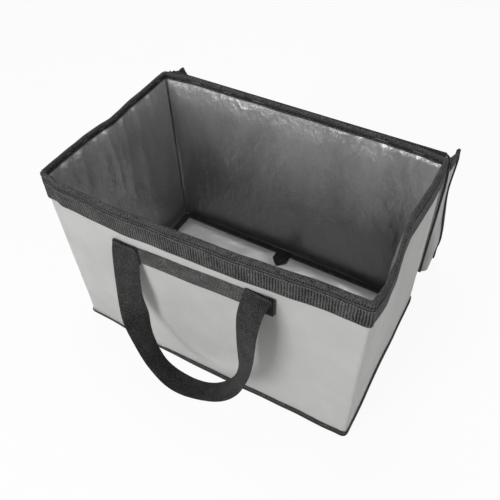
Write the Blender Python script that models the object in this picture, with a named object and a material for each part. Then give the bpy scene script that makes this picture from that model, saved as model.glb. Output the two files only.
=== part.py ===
"""Insulated carry bag: an open box of padded cloth walls with creased short sides, a lid with skirts that
hangs folded back behind the rear wall, two webbing handles and a stiff base board with a pull tab.

Metres, +Z up. The origin is the centre of the underside, -Y is the front and +X is the right side."""

import math

import bmesh
import bpy
from mathutils import Vector

# Overall size of the cloth box, measured to the outside of the outer cloth
BAG_WIDTH = 0.455
BAG_DEPTH = 0.270
BAG_HEIGHT = 0.3086
CORNER_RADIUS = 0.014

# How far each wall leaves its flat plane
FRONT_BOW_RIM = 0.008
FRONT_BOW_BASE = 0.013
BACK_BOW_RIM = 0.007
BACK_BOW_BASE = 0.003
SIDE_CREASE_RIM = 0.007
SIDE_CREASE_BASE = 0.002
SIDE_BULGE = 0.002
CREASE_REACH = 0.060

# Cloth, foam and tape thicknesses
OUTER_CLOTH = 0.001
FOAM = 0.004
LINING = 0.0005
BINDING = 0.001
HOOK_TAPE = 0.0015
LOOP_TAPE = 0.0012
HANDLE_WEBBING = 0.002
STRAP_WEBBING = 0.0015
SEAM_GAP = 0.0003
CORNER_SEAM = 0.0005

# Rim, band and base edge
BINDING_WIDTH = 0.013
HOOK_TAPE_WIDTH = 0.0288
TAPE_BELOW_BINDING = 0.0008
TAPE_END_INSET = 0.006
BASE_LIP_HEIGHT = 0.008
BASE_LIP_CLOTH = 0.0008
BASE_BINDING = 0.0008
BASE_BINDING_CLEAR = 0.0006

# Handles and the straps that they are sewn to
HANDLE_WIDTH = 0.038
HANDLE_SPAN = 0.196
HANDLE_DROP = 0.227
HANDLE_LEG = 0.110
HANDLE_LEAN = 0.008
HANDLE_FOLD_BELOW_RIM = 0.0586
HANDLE_END_LENGTH = 0.031
STRAP_WIDTH = 0.030
STRAP_OVERHANG = 0.002
STRAP_BELOW_FOLD = 0.003
FRONT_HANDLE_TILT = 13.0
BACK_HANDLE_TILT = 6.0

# Lid
LID_CLEARANCE = 0.0007
LID_ABOVE_RIM = 0.001
LID_STANDOFF = 0.002
LID_AXIS_SETBACK = 0.0068
LID_SWING = 260.5
SKIRT_DEPTH = 0.048
SKIRT_CLOTH = 0.0012
SKIRT_SETBACK = 0.020
SKIRT_BINDING = 0.0008
SKIRT_BINDING_WIDTH = 0.011
LOOP_TAPE_WIDTH = 0.020
LID_EDGE_WIDTH = 0.009
HINGE_CLOTH = 0.0008
HINGE_FOLD_ROOM = 0.001
HINGE_ON_WALL = 0.0125
HINGE_ON_LID = 0.0125

# Base board and its pull tab
BOARD_CORE = 0.0025
BOARD_COVER = 0.0005
BOARD_BINDING = 0.0007
BOARD_BINDING_WIDTH = 0.012
BOARD_SIDE_CLEARANCE = 0.0065
BOARD_BACK_CLEARANCE = 0.002
BOARD_FRONT_CLEARANCE = 0.0075
BOARD_AXIS_RISE = 0.0007
BOARD_HINGE_CLOTH = 0.0005
TAB_WIDTH = 0.027
TAB_LENGTH = 0.036
TAB_POINT = 0.012
TAB_CLOTH = 0.002
TAB_FROM_EDGE = 0.003

# Depths inward from the outer face of the outer cloth
FOAM_OUT = OUTER_CLOTH + SEAM_GAP
FOAM_IN = FOAM_OUT + FOAM
LINING_OUT = FOAM_IN + SEAM_GAP
LINING_IN = LINING_OUT + LINING
RIM_IN = LINING_IN + SEAM_GAP + BINDING
RIM_OUT = -(SEAM_GAP + BINDING)
TAPE_OUT = -(SEAM_GAP + HOOK_TAPE)
STRAP_OUT = -(SEAM_GAP + STRAP_WEBBING)
END_IN = STRAP_OUT - SEAM_GAP
END_OUT = END_IN - HANDLE_WEBBING
HANDLE_AXIS = END_OUT - SEAM_GAP - HANDLE_WEBBING / 2

# Heights of the layers of the floor, of the tops of the walls and of the folds of the handles
FOAM_FLOOR = OUTER_CLOTH + SEAM_GAP
FOAM_TOP = FOAM_FLOOR + FOAM
LINING_FLOOR = FOAM_TOP + SEAM_GAP
LINING_TOP = LINING_FLOOR + LINING
WALL_TOP = BAG_HEIGHT - BINDING - SEAM_GAP
HANDLE_FOLD_HEIGHT = BAG_HEIGHT - HANDLE_FOLD_BELOW_RIM
BINDING_BOTTOM = BAG_HEIGHT - BINDING_WIDTH
HOOK_TOP = BINDING_BOTTOM - TAPE_BELOW_BINDING
HOOK_BOTTOM = HOOK_TOP - HOOK_TAPE_WIDTH

# The plan is walked anticlockwise in eight stretches: four walls and the four corners after them
FRONT, FRONT_RIGHT, RIGHT, BACK_RIGHT, BACK, BACK_LEFT, LEFT, FRONT_LEFT = range(8)
STRETCHES = 8
STEPS = {FRONT: 12, RIGHT: 8, BACK: 12, LEFT: 8}
CORNER_STEPS = 4
DIAGONAL_SHARE = 0.5
CREASE_SHARE = 0.5

# The walls bend only at these heights, so that their layers lie evenly inside each other
BULGE_LOW = BAG_HEIGHT / 3
BULGE_HIGH = BAG_HEIGHT * 2 / 3
WALL_KNOTS = (BULGE_LOW, BULGE_HIGH, HOOK_BOTTOM)


def clear_scene():
    for old in list(bpy.data.objects):
        bpy.data.objects.remove(old, do_unlink=True)


def material(name, colour, roughness, metallic=0.0):
    made = bpy.data.materials.new(name)
    made.use_nodes = True
    shader = made.node_tree.nodes["Principled BSDF"]
    shader.inputs["Base Color"].default_value = (*colour, 1.0)
    shader.inputs["Roughness"].default_value = roughness
    shader.inputs["Metallic"].default_value = metallic
    return made


def add_piece(name, points, faces, finish, parent=None):
    """One closed body from points and faces, with its faces turned outward."""
    mesh = bpy.data.meshes.new(name)
    shape = bmesh.new()
    corners = [shape.verts.new(point) for point in points]
    for face in faces:
        shape.faces.new([corners[index] for index in face])
    bmesh.ops.recalc_face_normals(shape, faces=shape.faces)
    shape.to_mesh(mesh)
    shape.free()
    mesh.materials.append(finish)
    piece = bpy.data.objects.new(name, mesh)
    piece.parent = parent
    bpy.context.scene.collection.objects.link(piece)
    return piece


def joint_empty(name, place, angle, parent=None):
    """An empty on a joint's axis, which runs along X, turned by an angle in degrees."""
    empty = bpy.data.objects.new(name, None)
    empty.location = place
    empty.rotation_euler = (math.radians(angle), 0.0, 0.0)
    empty.parent = parent
    bpy.context.scene.collection.objects.link(empty)
    return empty


def front_bow(height):
    return FRONT_BOW_BASE + (FRONT_BOW_RIM - FRONT_BOW_BASE) * height / BAG_HEIGHT


def back_bow(height):
    return BACK_BOW_BASE + (BACK_BOW_RIM - BACK_BOW_BASE) * height / BAG_HEIGHT


def swell(share):
    """A bow's share of its full depth, from one across the middle of a wall to none at its ends."""
    return (1 - share**4) ** 1.5


def side_offset(share, height):
    """How far a short side stands out: a soft bulge, with the crease folded in at its middle."""
    rise = height / BAG_HEIGHT
    crease = SIDE_CREASE_BASE + (SIDE_CREASE_RIM - SIDE_CREASE_BASE) * rise
    from_crease = abs(share) * (BAG_DEPTH / 2 - CORNER_RADIUS) / CREASE_REACH
    swelling = min(1.0, height / BULGE_LOW, max(0.0, (HOOK_BOTTOM - height) / (HOOK_BOTTOM - BULGE_HIGH)))
    return SIDE_BULGE * swelling * swell(share) - crease * max(0.0, 1 - from_crease) ** 1.5


def plan_point(place, height, depth):
    """A point of the wall at a place on the plan walk, a height and a depth in from the outer face."""
    stretch = int(place // 1) % STRETCHES
    along = 2 * (place % 1) - 1
    half_width = BAG_WIDTH / 2 - CORNER_RADIUS
    half_depth = BAG_DEPTH / 2 - CORNER_RADIUS
    reach = CORNER_RADIUS - depth
    if stretch == FRONT:
        return Vector((along * half_width, -half_depth - reach - front_bow(height) * swell(along), height))
    if stretch == BACK:
        return Vector((-along * half_width, half_depth + reach + back_bow(height) * swell(along), height))
    if stretch == RIGHT:
        return Vector((half_width + reach + side_offset(along, height), along * half_depth, height))
    if stretch == LEFT:
        return Vector((-half_width - reach - side_offset(along, height), -along * half_depth, height))
    quarter = (stretch - 1) // 2
    angle = math.radians(90 * (quarter - 1 + place % 1))
    centre_x = half_width if stretch in (FRONT_RIGHT, BACK_RIGHT) else -half_width
    centre_y = half_depth if stretch in (BACK_RIGHT, BACK_LEFT) else -half_depth
    return Vector((centre_x + reach * math.cos(angle), centre_y + reach * math.sin(angle), height))


def walk(start, end):
    """The places from start to end on the plan walk, with every division of a stretch between them."""
    places = [start]
    for stretch in range(int(start // 1), int(end // 1) + 1):
        steps = STEPS.get(stretch % STRETCHES, CORNER_STEPS)
        places += [stretch + step / steps for step in range(steps)]
    tiny = 1e-6
    places = [place for place in places if start + tiny < place < end - tiny]
    return [start, *places, end]


def sweep_faces(rows, count, closed, heights=None):
    """Faces of a profile of count points swept through rows, capped at both ends unless it closes.

    With the profile's heights given, each side face is split along the diagonal that rises along the sweep,
    so that layers that follow the same bow lie evenly inside each other."""
    faces = []
    for row in range(rows if closed else rows - 1):
        here, there = row * count, (row + 1) % rows * count
        for index in range(count):
            after = (index + 1) % count
            a, b, c, d = here + index, there + index, there + after, here + after
            if heights is None:
                faces.append((a, b, c, d))
            elif heights[after] > heights[index]:
                faces += [(a, b, c), (a, c, d)]
            else:
                faces += [(a, b, d), (b, c, d)]
    if not closed:
        faces.append(tuple(range(count)))
        faces.append(tuple((rows - 1) * count + index for index in range(count)))
    return faces


def wall_sweep(name, start, end, profile, finish):
    """A profile of (depth, height) points swept along the wall from one place on the plan to another."""
    places = walk(start, end)
    points = [plan_point(place, height, depth) for place in places for depth, height in profile]
    heights = [height for depth, height in profile]
    return add_piece(name, points, sweep_faces(len(places), len(profile), False, heights), finish)


def wall_ring(name, profile, finish):
    """A profile of (depth, height) points swept all round the bag."""
    places = walk(0, STRETCHES)[:-1]
    points = [plan_point(place, height, depth) for place in places for depth, height in profile]
    heights = [height for depth, height in profile]
    return add_piece(name, points, sweep_faces(len(places), len(profile), True, heights), finish)


def sheet_profile(outer, inner, bottom, top):
    """A sheet's profile between two depths, with the heights at which the wall bends."""
    levels = [bottom, *WALL_KNOTS, top]
    return [(outer, level) for level in levels] + [(inner, level) for level in reversed(levels)]


def box_profile(outer, inner, bottom, top):
    return [(outer, bottom), (outer, top), (inner, top), (inner, bottom)]


def corner_share(depth):
    """Half of the seam at a corner, as a share of that corner's stretch."""
    return CORNER_SEAM / 2 / ((CORNER_RADIUS - depth) * math.pi / 2)


def corner_to_corner(name, first, last, outer, inner, bottom, top, finish):
    """A sheet from the diagonal of one corner to the diagonal of another, less half a seam at each."""
    seam = corner_share(inner)
    start, end = first + DIAGONAL_SHARE + seam, last + DIAGONAL_SHARE - seam
    return wall_sweep(name, start, end, sheet_profile(outer, inner, bottom, top), finish)


def floor_slab(name, depth, bottom, top, finish):
    """A flat layer of the floor, inside a given depth of the wall."""
    places = walk(0, STRETCHES)[:-1]
    count = len(places)
    outline = [plan_point(place, 0.0, depth) for place in places]
    points = [point + Vector((0, 0, level)) for level in (bottom, top) for point in outline]
    faces = [tuple(range(count)), tuple(range(count, 2 * count))]
    faces += [(i, (i + 1) % count, count + (i + 1) % count, count + i) for i in range(count)]
    return add_piece(name, points, faces, finish)


def base_tray(name, finish):
    """The outer cloth of the base, with its edge turned up as a low lip outside the walls."""
    places = walk(0, STRETCHES)[:-1]
    count = len(places)
    lip_in, lip_out = -SEAM_GAP, -(SEAM_GAP + BASE_LIP_CLOTH)
    rings = ((lip_out, 0.0), (lip_out, BASE_LIP_HEIGHT), (lip_in, BASE_LIP_HEIGHT), (lip_in, OUTER_CLOTH))
    points = []
    for depth, level in rings:
        points += [plan_point(place, 0.0, depth) + Vector((0, 0, level)) for place in places]
    faces = [tuple(range(count)), tuple(range(3 * count, 4 * count))]
    for ring in range(3):
        here, there = ring * count, (ring + 1) * count
        for i in range(count):
            after = (i + 1) % count
            faces.append((here + i, here + after, there + after, there + i))
    return add_piece(name, points, faces, finish)


def block(name, low, high, finish, parent=None):
    """A cuboid between two corners."""
    spans = list(zip(low, high))
    points = [Vector((x, y, z)) for x in spans[0] for y in spans[1] for z in spans[2]]
    faces = [(0, 1, 3, 2), (4, 6, 7, 5), (0, 4, 5, 1), (2, 3, 7, 6), (0, 2, 6, 4), (1, 5, 7, 3)]
    return add_piece(name, points, faces, finish, parent)


def wall_patch(name, side, middle, width, outer, inner, bottom, top, finish):
    """A flat tape on the front or back wall, which follows the bow between two heights."""
    half = BAG_WIDTH / 2 - CORNER_RADIUS
    centre = middle if side == FRONT else -middle
    shares = ((centre - width / 2) / half, (centre + width / 2) / half)
    start, end = (side + (share + 1) / 2 for share in shares)
    return wall_sweep(name, start, end, box_profile(outer, inner, bottom, top), finish)


def webbing_loop(name, outward, finish, parent):
    """The hanging loop of a handle, with its folded tops on the parent's axis.

    The webbing hangs flat against the wall at its tops and turns a quarter turn down each leg, so that its
    width stands across the loop at the bottom. outward is -1 for the front handle and 1 for the back one."""
    half_span = HANDLE_SPAN / 2
    narrow = half_span - HANDLE_LEAN
    leg_steps, curve_steps = 6, 10
    leg_shares = [step / leg_steps for step in range(leg_steps)]
    half_path = [(half_span - HANDLE_LEAN * share, HANDLE_LEG * share) for share in leg_shares]
    for step in range(curve_steps + 1):
        angle = math.pi / 2 * step / curve_steps
        drop = HANDLE_LEG + (HANDLE_DROP - HANDLE_LEG) * math.sin(angle)
        half_path.append((narrow * math.cos(angle), drop))
    path = [Vector((-x, 0, -drop)) for x, drop in half_path]
    path += [Vector((x, 0, -drop)) for x, drop in reversed(half_path[:-1])]
    lengths = [0.0]
    for before, after in zip(path, path[1:]):
        lengths.append(lengths[-1] + (after - before).length)
    out = Vector((0, outward, 0))
    points = []
    for index, centre in enumerate(path):
        before, after = path[max(index - 1, 0)], path[min(index + 1, len(path) - 1)]
        along = (after - before).normalized()
        if index in (0, len(path) - 1):
            along = Vector((0, 0, -1 if index == 0 else 1))
        inward = Vector((-along.z, 0, along.x))
        share = 1 - abs(2 * lengths[index] / lengths[-1] - 1)
        turn = math.pi / 2 * share * share * (3 - 2 * share)
        face = out * math.cos(turn) + inward * math.sin(turn)
        across = along.cross(face)
        for side, rise in ((-1, -1), (1, -1), (1, 1), (-1, 1)):
            points.append(centre + across * side * HANDLE_WIDTH / 2 + face * rise * HANDLE_WEBBING / 2)
    return add_piece(name, points, sweep_faces(len(path), 4, False), finish, parent)


def handle_axis(side):
    """The middle of a handle's hinge line, and the outward direction of its wall. The line is straight, so
    it stands off the sewn ends' nearer edges, where the wall bows out the most."""
    outward = -1 if side == FRONT else 1
    half = BAG_WIDTH / 2 - CORNER_RADIUS
    bow = front_bow if side == FRONT else back_bow
    nearer = (HANDLE_SPAN - HANDLE_WIDTH) / 2 / half
    stand = BAG_DEPTH / 2 + bow(HANDLE_FOLD_HEIGHT) * swell(nearer) - HANDLE_AXIS
    return Vector((0, outward * stand, HANDLE_FOLD_HEIGHT)), outward


def add_walls(cloth, foam, lining, binding, hooks):
    cloth_span = (0.0, OUTER_CLOTH, FOAM_FLOOR, WALL_TOP)
    corner_to_corner("outer_wrap", BACK_LEFT, BACK_RIGHT + STRETCHES, *cloth_span, cloth)
    corner_to_corner("outer_back_panel", BACK_RIGHT, BACK_LEFT, *cloth_span, cloth)
    base_tray("outer_base_panel", cloth)
    foam_span = (FOAM_OUT, FOAM_IN, LINING_FLOOR, WALL_TOP)
    corner_to_corner("foam_front", FRONT_LEFT, FRONT_RIGHT + STRETCHES, *foam_span, foam)
    corner_to_corner("foam_back", BACK_RIGHT, BACK_LEFT, *foam_span, foam)
    fold = CORNER_SEAM / 2 / (BAG_DEPTH - 2 * CORNER_RADIUS)
    seam = corner_share(FOAM_IN)
    sheet = sheet_profile(*foam_span)
    right, left = RIGHT + CREASE_SHARE, LEFT + CREASE_SHARE
    wall_sweep("foam_right_front", FRONT_RIGHT + DIAGONAL_SHARE + seam, right - fold, sheet, foam)
    wall_sweep("foam_right_rear", right + fold, BACK_RIGHT + DIAGONAL_SHARE - seam, sheet, foam)
    wall_sweep("foam_left_rear", BACK_LEFT + DIAGONAL_SHARE + seam, left - fold, sheet, foam)
    wall_sweep("foam_left_front", left + fold, FRONT_LEFT + DIAGONAL_SHARE - seam, sheet, foam)
    floor_slab("foam_base", FOAM_OUT, FOAM_FLOOR, FOAM_TOP, foam)
    lining_span = (LINING_OUT, LINING_IN, LINING_TOP + SEAM_GAP, WALL_TOP)
    corner_to_corner("lining_front", FRONT_LEFT, FRONT_RIGHT + STRETCHES, *lining_span, lining)
    corner_to_corner("lining_right", FRONT_RIGHT, BACK_RIGHT, *lining_span, lining)
    corner_to_corner("lining_back", BACK_RIGHT, BACK_LEFT, *lining_span, lining)
    corner_to_corner("lining_left", BACK_LEFT, FRONT_LEFT, *lining_span, lining)
    floor_slab("lining_floor", LINING_OUT, LINING_FLOOR, LINING_TOP, lining)

    leg_out, leg_in = -SEAM_GAP, LINING_IN + SEAM_GAP
    under = BAG_HEIGHT - BINDING
    low, high = BINDING_BOTTOM, BAG_HEIGHT
    folded_tape = [(RIM_OUT, low), (RIM_OUT, high), (RIM_IN, high), (RIM_IN, low)]
    folded_tape += [(leg_in, low), (leg_in, under), (leg_out, under), (leg_out, low)]
    wall_ring("rim_binding", folded_tape, binding)
    inset = TAPE_END_INSET / (BAG_DEPTH - 2 * CORNER_RADIUS)
    tape = box_profile(TAPE_OUT, -SEAM_GAP, HOOK_BOTTOM, HOOK_TOP)
    wall_sweep("hook_tape", LEFT + inset, RIGHT + STRETCHES + 1 - inset, tape, hooks)

    lip_out = -(SEAM_GAP + BASE_LIP_CLOTH)
    tape_in = lip_out - SEAM_GAP
    tape_out = tape_in - BASE_BINDING
    under = BASE_LIP_HEIGHT + SEAM_GAP
    top = under + BASE_BINDING
    edge = [(tape_out, BASE_BINDING_CLEAR), (tape_out, top), (-SEAM_GAP, top), (-SEAM_GAP, under)]
    edge += [(tape_in, under), (tape_in, BASE_BINDING_CLEAR)]
    wall_ring("base_binding", edge, binding)


def add_handle(side, label, tilt, webbing):
    """A strap across the wall, the two sewn ends of the handle on it, and the hanging loop."""
    strap_top = HANDLE_FOLD_HEIGHT - STRAP_BELOW_FOLD
    span = (STRAP_OUT, -SEAM_GAP, strap_top - STRAP_WIDTH, strap_top)
    strap_length = HANDLE_SPAN + HANDLE_WIDTH + 2 * STRAP_OVERHANG
    wall_patch(f"{label}_strap", side, 0.0, strap_length, *span, webbing)
    end_span = (END_OUT, END_IN, HANDLE_FOLD_HEIGHT - HANDLE_END_LENGTH, HANDLE_FOLD_HEIGHT)
    for name, middle in (("left", -HANDLE_SPAN / 2), ("right", HANDLE_SPAN / 2)):
        wall_patch(f"{label}_handle_end_{name}", side, middle, HANDLE_WIDTH, *end_span, webbing)
    axis, outward = handle_axis(side)
    pivot = joint_empty(f"{label}_handle_axis", axis, outward * tilt)
    webbing_loop(f"{label}_handle", outward, webbing, pivot)


def u_sweep(name, half_x, front_y, back_y, profile, finish, parent):
    """A profile of (outward, height) points swept round the lid's left, front and right edges."""
    points = []
    for corner in range(4):
        for outward, height in profile:
            x = (half_x + outward) * (-1 if corner < 2 else 1)
            y = back_y if corner in (0, 3) else front_y - outward
            points.append(Vector((x, y, height)))
    return add_piece(name, points, sweep_faces(4, len(profile), False), finish, parent)


def add_lid(cloth, foam, lining, binding, loops):
    """The lid in its own frame, with the hinge line as its origin, as it lies when closed on the rim."""
    back_wall = BAG_DEPTH / 2 + BACK_BOW_RIM - RIM_OUT
    back_edge = back_wall + SEAM_GAP + HINGE_CLOTH + LID_STANDOFF
    axis_y = back_edge + LID_AXIS_SETBACK
    axis = joint_empty("lid_axis", Vector((0, axis_y, BAG_HEIGHT)), -LID_SWING)

    inner_x = BAG_WIDTH / 2 - TAPE_OUT + LID_CLEARANCE
    skirt_x = inner_x + LOOP_TAPE + SEAM_GAP
    half_x = skirt_x + SKIRT_CLOTH
    inner_y = -(BAG_DEPTH / 2 + front_bow(HOOK_BOTTOM) - TAPE_OUT + LID_CLEARANCE) - axis_y
    skirt_y = inner_y - LOOP_TAPE - SEAM_GAP
    front_y = skirt_y - SKIRT_CLOTH
    back_y = -LID_AXIS_SETBACK
    lining_z = LID_ABOVE_RIM
    foam_z = lining_z + LINING + SEAM_GAP
    outer_z = foam_z + FOAM + SEAM_GAP
    top_z = outer_z + OUTER_CLOTH
    free_z = top_z - SKIRT_DEPTH

    def panel(name, half, front, bottom, thick, finish):
        block(name, (-half, front, bottom), (half, back_y, bottom + thick), finish, axis)

    panel("lid_outer", half_x, front_y, outer_z, OUTER_CLOTH, cloth)
    panel("lid_foam", inner_x + LOOP_TAPE, inner_y - LOOP_TAPE, foam_z, FOAM, foam)
    panel("lid_lining", inner_x + LOOP_TAPE, inner_y - LOOP_TAPE, lining_z, LINING, lining)

    skirt_top = outer_z - SEAM_GAP
    skirt_back = back_y - SKIRT_SETBACK
    tape_bottom = free_z + SKIRT_BINDING_WIDTH
    tape_top = tape_bottom + LOOP_TAPE_WIDTH
    block("lid_skirt_front", (-half_x, front_y, free_z), (half_x, skirt_y, skirt_top), cloth, axis)
    front_tape = ((-inner_x, inner_y - LOOP_TAPE, tape_bottom), (inner_x, inner_y, tape_top))
    block("lid_loop_tape_front", *front_tape, loops, axis)
    for name, hand in (("left", -1), ("right", 1)):
        near, far = sorted((hand * skirt_x, hand * half_x))
        skirt_low = (near, skirt_y + SEAM_GAP, free_z)
        block(f"lid_skirt_{name}", skirt_low, (far, skirt_back, skirt_top), cloth, axis)
        near, far = sorted((hand * inner_x, hand * (inner_x + LOOP_TAPE)))
        tape_low = (near, inner_y + SEAM_GAP, tape_bottom)
        block(f"lid_loop_tape_{name}", tape_low, (far, skirt_back, tape_top), loops, axis)

    bound_out = SEAM_GAP + SKIRT_BINDING
    bound_in = -(SKIRT_CLOTH + SEAM_GAP)
    leg_in = bound_in - SKIRT_BINDING
    under = free_z - SEAM_GAP
    low = under - SKIRT_BINDING
    leg_top = tape_bottom - SEAM_GAP
    folded = [(bound_out, low), (bound_out, leg_top), (SEAM_GAP, leg_top), (SEAM_GAP, under)]
    folded += [(bound_in, under), (bound_in, leg_top), (leg_in, leg_top), (leg_in, low)]
    u_sweep("lid_skirt_binding", half_x, front_y, skirt_back, folded, binding, axis)

    over = top_z + SEAM_GAP
    cap = over + SKIRT_BINDING
    drop = top_z - LID_EDGE_WIDTH
    seam = [(bound_out, drop), (bound_out, cap), (-LID_EDGE_WIDTH, cap), (-LID_EDGE_WIDTH, over)]
    seam += [(SEAM_GAP, over), (SEAM_GAP, drop)]
    u_sweep("lid_edge_binding", half_x, front_y, skirt_back, seam, binding, axis)

    half = HINGE_CLOTH / 2
    hinge_half_x = BAG_WIDTH / 2 - CORNER_RADIUS
    bend = Vector((0, back_y, over + half))
    start = bend - Vector((0, HINGE_ON_LID, 0))
    route = [start, bend, Vector((0, 0, 0))]
    add_strip("lid_hinge_flap", lambda share: route, hinge_half_x, binding, axis)

    stop = axis_y - HINGE_FOLD_ROOM - SEAM_GAP

    def wall_route(share):
        wall = BAG_DEPTH / 2 + BACK_BOW_RIM * swell(share) - RIM_OUT + SEAM_GAP + half
        turn = BAG_HEIGHT - HINGE_CLOTH
        return [
            Vector((0, wall, BAG_HEIGHT - HINGE_ON_WALL)),
            Vector((0, wall, turn - HINGE_CLOTH)),
            Vector((0, wall + 2 * HINGE_CLOTH, BAG_HEIGHT - half)),
            Vector((0, stop, BAG_HEIGHT)),
        ]

    add_strip("lid_hinge_strip", wall_route, hinge_half_x, binding)


def add_strip(name, route, half_x, finish, parent=None):
    """A strip of cloth along X whose cross-section follows route(share), a list of points at each share."""
    steps = STEPS[BACK]
    half = HINGE_CLOTH / 2
    points = []
    for step in range(steps + 1):
        share = 2 * step / steps - 1
        line = route(share)
        upper, lower = [], []
        for index, point in enumerate(line):
            before, after = line[max(index - 1, 0)], line[min(index + 1, len(line) - 1)]
            first = (point - before).normalized() if index else (after - point).normalized()
            second = (after - point).normalized() if index < len(line) - 1 else first
            normal = Vector((0, -(first + second).z, (first + second).y)).normalized()
            reach = half / normal.dot(Vector((0, -first.z, first.y)))
            centre = point + Vector((share * half_x, 0, 0))
            upper.append(centre + normal * reach)
            lower.append(centre - normal * reach)
        points += upper + lower[::-1]
    return add_piece(name, points, sweep_faces(steps + 1, 2 * len(line), False), finish, parent)


def add_base_board(board, lining, binding, webbing):
    """The stiff board in its cloth cover, lying on the lining of the floor, hinged along its front edge."""
    rest = LINING_TOP + SEAM_GAP
    half_x = BAG_WIDTH / 2 - LINING_IN - BOARD_SIDE_CLEARANCE
    front = -(BAG_DEPTH / 2 - LINING_IN - BOARD_FRONT_CLEARANCE)
    back = BAG_DEPTH / 2 - LINING_IN - BOARD_BACK_CLEARANCE
    axis_z = rest + BOARD_BINDING + BOARD_AXIS_RISE
    axis = joint_empty("base_board_axis", Vector((0, front, axis_z)), 0.0)
    down = rest - axis_z
    span = back - front
    edge = BOARD_BINDING + SEAM_GAP

    levels = [down + BOARD_BINDING + SEAM_GAP]
    for thick in (BOARD_COVER, BOARD_CORE, BOARD_COVER):
        levels.append(levels[-1] + thick + SEAM_GAP)
    low, core, high, binding_under = levels
    corners = ((-half_x + edge, edge), (half_x - edge, span - edge))

    def layer(name, bottom, thick, finish):
        (left, near), (right, far) = corners
        block(name, (left, near, bottom), (right, far, bottom + thick), finish, axis)

    layer("base_board_bottom_cover", low, BOARD_COVER, lining)
    layer("base_board_core", core, BOARD_CORE, board)
    layer("base_board_top_cover", high, BOARD_COVER, lining)

    top = binding_under + BOARD_BINDING
    leg = BOARD_BINDING_WIDTH
    profile = [(0.0, down), (0.0, top), (leg, top), (leg, binding_under), (BOARD_BINDING, binding_under)]
    profile += [(BOARD_BINDING, down + BOARD_BINDING), (leg, down + BOARD_BINDING), (leg, down)]
    points = []
    for corner in range(4):
        for inset, height in profile:
            x = (half_x - inset) * (-1 if corner in (0, 3) else 1)
            y = inset if corner < 2 else span - inset
            points.append(Vector((x, y, height)))
    add_piece("base_board_binding", points, sweep_faces(4, len(profile), True), binding, axis)

    fold = front - BOARD_BINDING
    wall = -(BAG_DEPTH / 2 - LINING_IN) + SEAM_GAP
    block("base_board_hinge_tape", (-half_x, wall, rest), (half_x, fold, rest + BOARD_HINGE_CLOTH), binding)

    tab_axis = Vector((0, span - TAB_FROM_EDGE, top + SEAM_GAP + TAB_CLOTH / 2))
    pivot = joint_empty("pull_tab_axis", tab_axis, 0.0, axis)
    half = TAB_WIDTH / 2
    tip = half / 4
    outline = [(-half, 0.0), (half, 0.0), (half, TAB_POINT - TAB_LENGTH), (tip, -TAB_LENGTH)]
    outline += [(-tip, -TAB_LENGTH), (-half, TAB_POINT - TAB_LENGTH)]
    count = len(outline)
    points = [Vector((x, y, z)) for z in (-TAB_CLOTH / 2, TAB_CLOTH / 2) for x, y in outline]
    faces = [tuple(range(count)), tuple(range(count, 2 * count))]
    faces += [(i, (i + 1) % count, count + (i + 1) % count, count + i) for i in range(count)]
    add_piece("pull_tab", points, faces, webbing, pivot)


clear_scene()
outer_cloth = material("outer_cloth", (0.56, 0.56, 0.55), 0.62)
white_foam = material("white_foam", (0.86, 0.86, 0.84), 0.90)
silver_lining = material("silver_lining", (0.42, 0.42, 0.42), 0.34, 0.35)
black_webbing = material("black_webbing", (0.035, 0.035, 0.037), 0.78)
black_binding = material("black_binding", (0.030, 0.030, 0.032), 0.72)
hook_tape = material("hook_tape", (0.045, 0.045, 0.047), 0.85)
loop_tape = material("loop_tape", (0.040, 0.040, 0.042), 0.95)
board_plastic = material("board_plastic", (0.30, 0.30, 0.30), 0.60)

add_walls(outer_cloth, white_foam, silver_lining, black_binding, hook_tape)
add_handle(FRONT, "front", FRONT_HANDLE_TILT, black_webbing)
add_handle(BACK, "back", BACK_HANDLE_TILT, black_webbing)
add_lid(outer_cloth, white_foam, silver_lining, black_binding, loop_tape)
add_base_board(board_plastic, silver_lining, black_binding, black_webbing)
bpy.context.view_layer.update()
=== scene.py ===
"""Insulated carry bag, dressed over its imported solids: padded cloth walls with a silver lining, black tapes
round rim and base, two webbing handles, a lid hanging behind the rear wall and a base board with its tab.

Metres, +Z up, -Y is the front and +X is the right side."""

import math

import bmesh
import bpy
import numpy as np
from mathutils import Matrix, Vector


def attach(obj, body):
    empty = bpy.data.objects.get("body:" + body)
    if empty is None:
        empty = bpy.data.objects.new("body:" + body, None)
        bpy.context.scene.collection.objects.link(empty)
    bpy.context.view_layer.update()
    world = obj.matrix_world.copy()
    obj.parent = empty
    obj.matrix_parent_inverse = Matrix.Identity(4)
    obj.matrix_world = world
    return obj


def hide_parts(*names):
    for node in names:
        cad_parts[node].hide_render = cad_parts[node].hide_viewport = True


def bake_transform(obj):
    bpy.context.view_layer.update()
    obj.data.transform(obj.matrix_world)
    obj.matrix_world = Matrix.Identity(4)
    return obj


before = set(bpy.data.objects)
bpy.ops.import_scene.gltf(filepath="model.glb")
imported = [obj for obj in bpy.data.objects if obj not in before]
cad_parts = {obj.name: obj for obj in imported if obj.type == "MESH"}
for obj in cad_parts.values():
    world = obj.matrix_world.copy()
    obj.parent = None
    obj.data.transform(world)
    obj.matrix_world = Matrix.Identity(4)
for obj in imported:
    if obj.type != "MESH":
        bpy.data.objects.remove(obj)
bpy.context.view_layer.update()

# ----------------------------------------
# The stage: a pale floor and an even pale surround, a wide soft lamp from the upper left in front, a weaker
# one from the right, and the camera, which looks down into the open bag from its front right.
azimuth, elevation, roll = (math.radians(angle) for angle in (31.581, 48.306, -2.443))
seat = Vector((0.31142908, -0.50483933, 0.80640605))
lens, sensor = 42.154, 36.0

level_share = math.cos(elevation)
back_way = Vector((math.sin(azimuth) * level_share, -math.cos(azimuth) * level_share, math.sin(elevation)))
level = (-back_way).cross(Vector((0, 0, 1))).normalized()
rising = level.cross(-back_way)
right_way = level * math.cos(roll) + rising * math.sin(roll)
up_way = rising * math.cos(roll) - level * math.sin(roll)


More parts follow.
